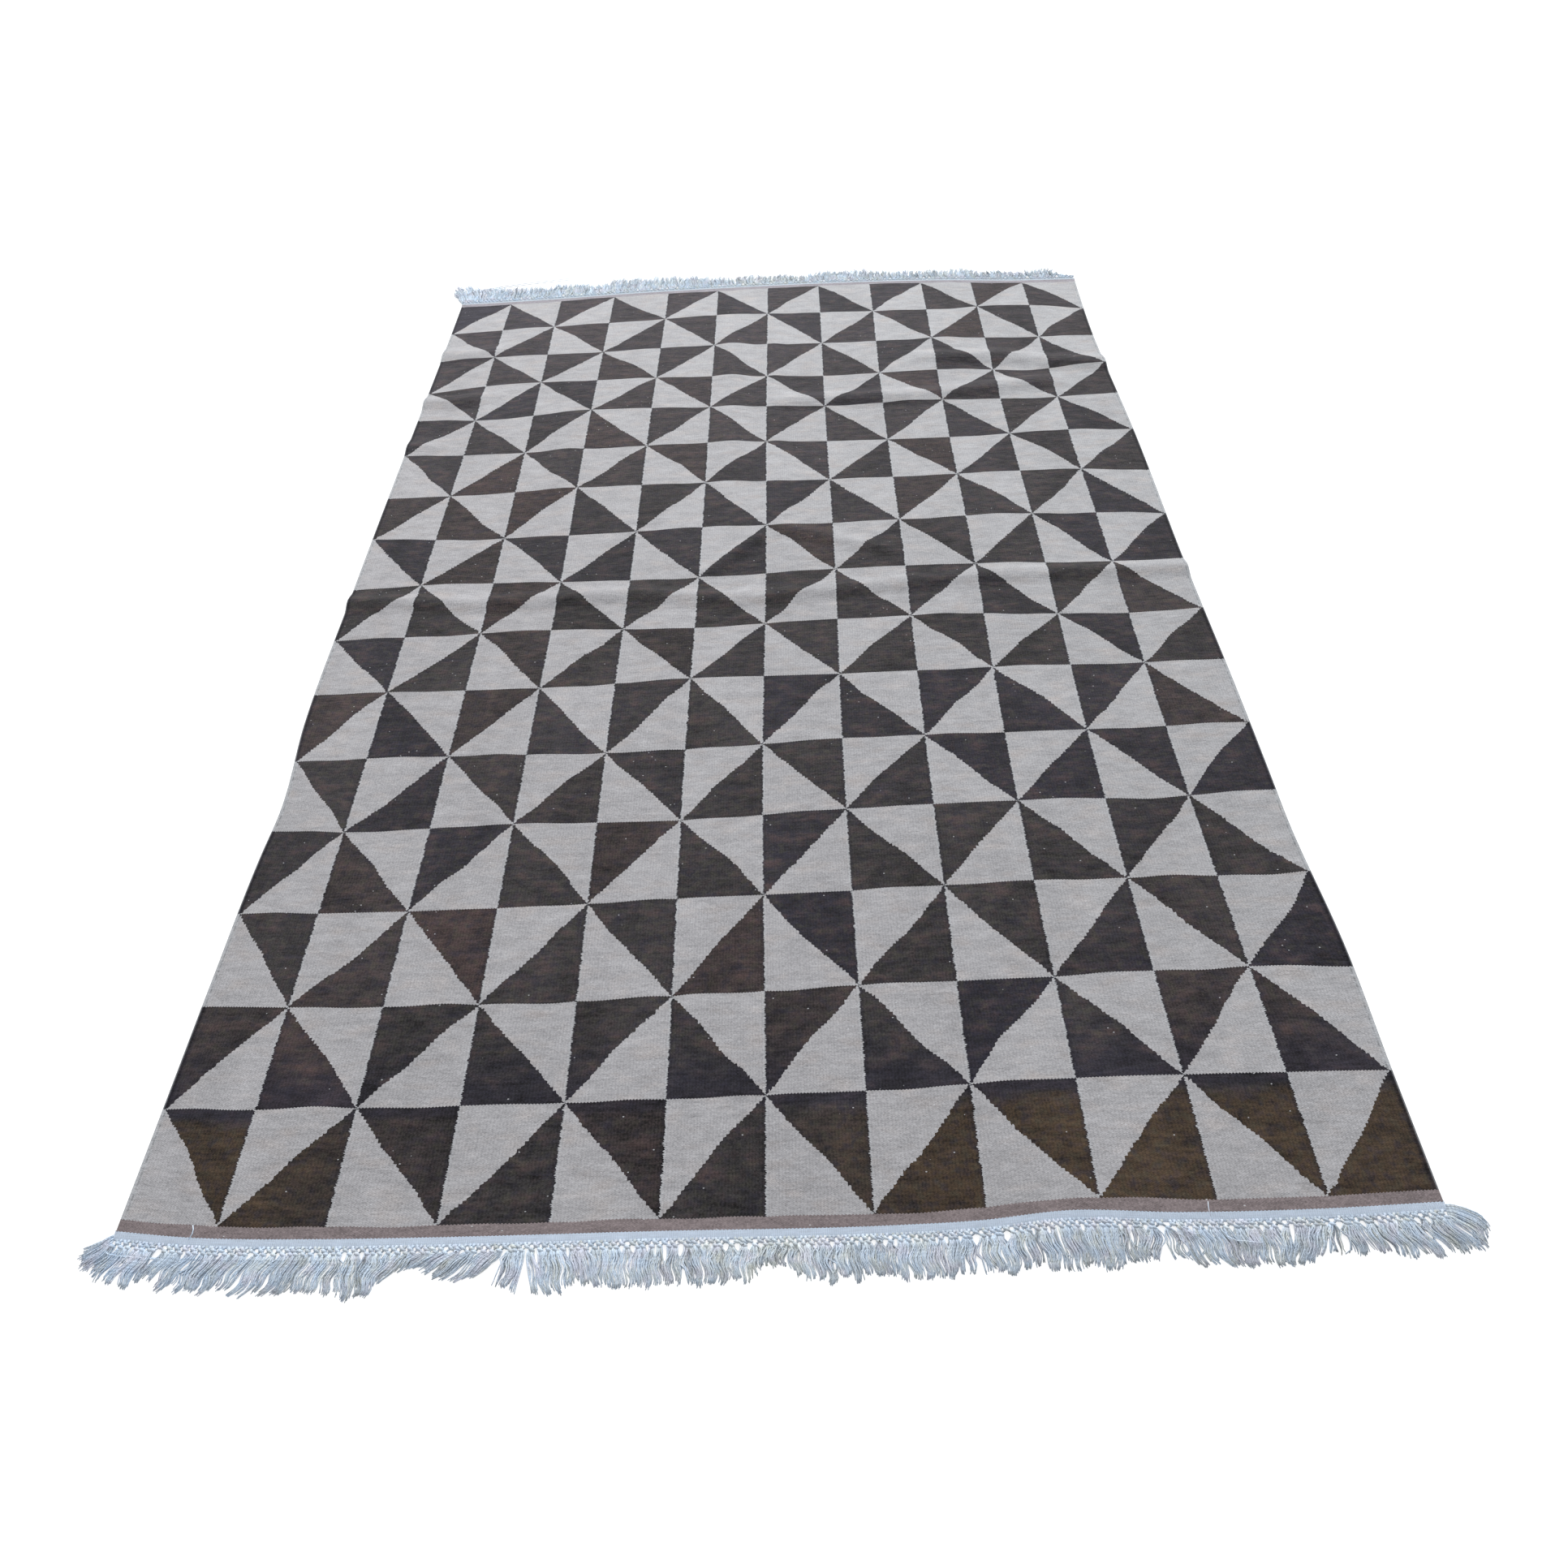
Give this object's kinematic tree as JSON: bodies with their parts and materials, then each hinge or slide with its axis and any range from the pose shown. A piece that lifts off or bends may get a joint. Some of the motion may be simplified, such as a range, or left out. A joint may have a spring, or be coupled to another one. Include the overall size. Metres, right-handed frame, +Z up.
{
  "type": "flat-woven kilim rug",
  "caption": "Rectangular flat-woven kilim rug that lies on a floor, with a dark and light triangle pattern, plain end stripes and knotted fringes.",
  "frame": {"origin": "on the floor under the middle of the whole rug, its fringes included", "axes": "+Y along the warps towards the far fringe, +X across the rug, +Z up from the floor"},
  "size_m": [1.656, 2.5158, 0.012],
  "materials": {
    "kilim_weave": "matt woven wool in near-black brown and greyish white, with taupe end stripes",
    "fringe_yarn": "matt plied yarn in bluish white"
  },
  "bodies": {
    "root": {"kilim_cloth": "kilim_weave", "fringe_near": "fringe_yarn", "fringe_far": "fringe_yarn"}
  },
  "joints": []
}
